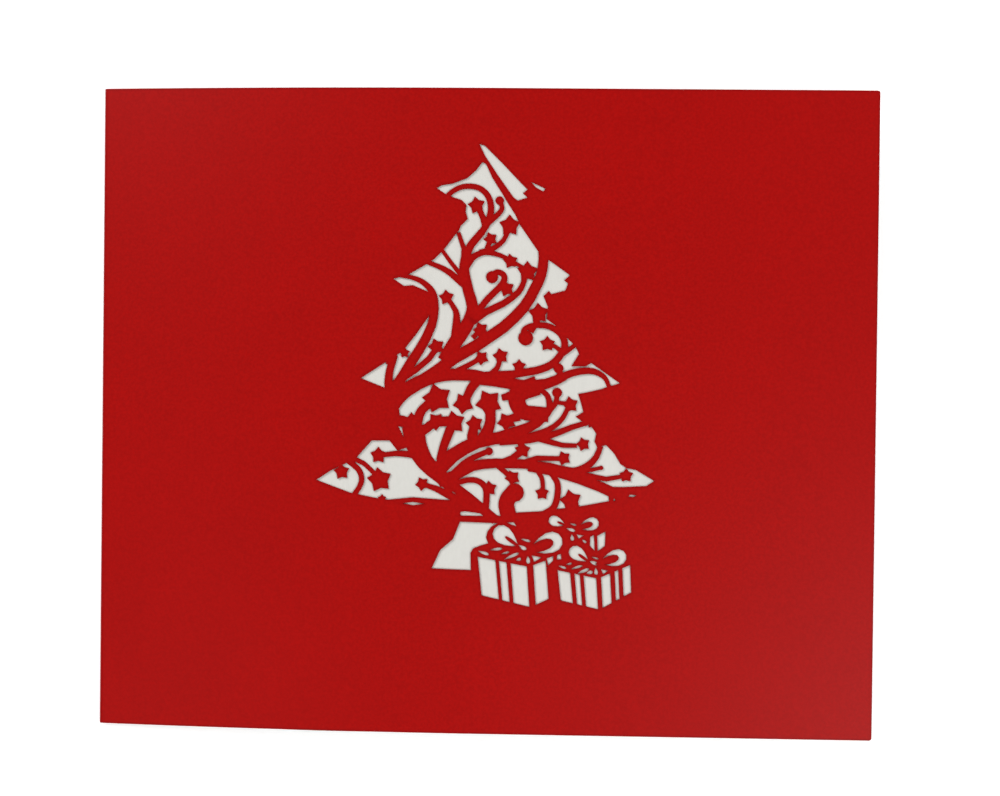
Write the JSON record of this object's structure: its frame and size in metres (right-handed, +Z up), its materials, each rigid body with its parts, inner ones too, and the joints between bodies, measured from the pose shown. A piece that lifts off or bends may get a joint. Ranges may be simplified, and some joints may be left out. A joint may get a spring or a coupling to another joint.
{
  "type": "pop up card",
  "caption": "Folded red greeting card with a Christmas tree and gifts cut through its front, a white liner and a slotted pop up tree lying flat inside.",
  "frame": {"origin": "under the middle of the closed card, on the surface that it lies on", "axes": "+X from the fold to the open edge, +Y from the tail of the picture to its head, +Z up through the front cover"},
  "size_m": [0.1816, 0.1502, 0.0106],
  "materials": {
    "red_card": "matte",
    "white_paper": "matte",
    "green_card": "matte",
    "gift_card": "matte"
  },
  "bodies": {
    "root": {"cover": "red_card", "liner": "white_paper", "tree_rib_a1": "green_card", "tree_rib_a2": "green_card", "tree_rib_a3": "green_card", "tree_rib_b1": "green_card", "tree_rib_b2": "green_card", "tree_rib_b3": "green_card", "gift_rib_left": "gift_card", "gift_rib_right": "gift_card"}
  },
  "joints": []
}
